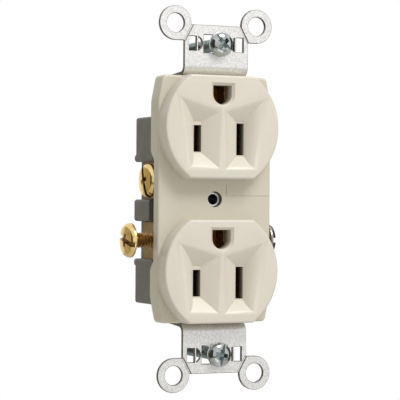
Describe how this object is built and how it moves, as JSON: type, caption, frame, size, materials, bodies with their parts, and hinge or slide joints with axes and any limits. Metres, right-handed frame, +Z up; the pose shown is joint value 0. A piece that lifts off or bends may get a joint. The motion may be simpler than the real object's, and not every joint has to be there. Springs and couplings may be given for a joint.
{
  "type": "duplex wall outlet",
  "caption": "Duplex wall outlet: two grounded sockets over a grey body in a steel wrap-around strap with break-off ears, side wiring screws and mounting screws.",
  "frame": {"origin": "on the axis of the centre rivet, where the wall plate's screw goes, in the plane of the back face of the strap's ears (the face that rests on the wall)", "axes": "+X to the right seen from the front (neutral side), +Y backwards into the wall box, +Z up"},
  "size_m": [0.044, 0.0245, 0.104],
  "materials": {
    "almond_nylon": "moulded nylon, soft gloss",
    "grey_thermoplastic": "moulded, matte",
    "zinc_steel": "zinc plated",
    "brass": "bright brass",
    "nickel_silver": "nickel plated brass",
    "phosphor_bronze": "spring temper, satin",
    "green_steel": "green dyed zinc"
  },
  "bodies": {
    "device": {"front_cover": "almond_nylon", "back_body": "grey_thermoplastic", "mounting_strap": "zinc_steel", "centre_rivet": "zinc_steel", "assembly_screws": "zinc_steel", "ground_contact_upper": "brass", "ground_contact_lower": "brass", "ground_rivets": "zinc_steel", "hot_terminal_plate": "brass", "hot_contact_upper": "phosphor_bronze", "hot_contact_lower": "phosphor_bronze", "hot_contact_rivets": "brass", "neutral_terminal_plate": "nickel_silver", "neutral_contact_upper": "phosphor_bronze", "neutral_contact_lower": "phosphor_bronze", "neutral_contact_rivets": "nickel_silver"},
    "hot_screw_upper_body": {"hot_screw_upper": "brass"},
    "hot_screw_lower_body": {"hot_screw_lower": "brass"},
    "neutral_screw_upper_body": {"neutral_screw_upper": "nickel_silver"},
    "neutral_screw_lower_body": {"neutral_screw_lower": "nickel_silver"},
    "ground_screw_body": {"ground_screw": "green_steel"},
    "mounting_screw_top_body": {"mounting_screw_top": "zinc_steel"},
    "mounting_screw_bottom_body": {"mounting_screw_bottom": "zinc_steel"}
  },
  "joints": [
    {"name": "hot_screw_upper_turn", "type": "slide", "parent": "device", "child": "hot_screw_upper_body", "axis": [-1, 0, 0], "range_m": [-0.00095, 0.00595]},
    {"name": "hot_screw_lower_turn", "type": "slide", "parent": "device", "child": "hot_screw_lower_body", "axis": [-1, 0, 0], "range_m": [-0.0064, 0.0005]},
    {"name": "neutral_screw_upper_turn", "type": "slide", "parent": "device", "child": "neutral_screw_upper_body", "axis": [1, 0, 0], "range_m": [0, 0.0069]},
    {"name": "neutral_screw_lower_turn", "type": "slide", "parent": "device", "child": "neutral_screw_lower_body", "axis": [1, 0, 0], "range_m": [-0.0042, 0.0027]},
    {"name": "ground_screw_turn", "type": "slide", "parent": "device", "child": "ground_screw_body", "axis": [1, 0, 0], "range_m": [0, 0.0045]},
    {"name": "mounting_screw_top_turn", "type": "slide", "parent": "device", "child": "mounting_screw_top_body", "axis": [0, -1, 0], "range_m": [0, 0.015]},
    {"name": "mounting_screw_bottom_turn", "type": "slide", "parent": "device", "child": "mounting_screw_bottom_body", "axis": [0, -1, 0], "range_m": [0, 0.015]}
  ]
}
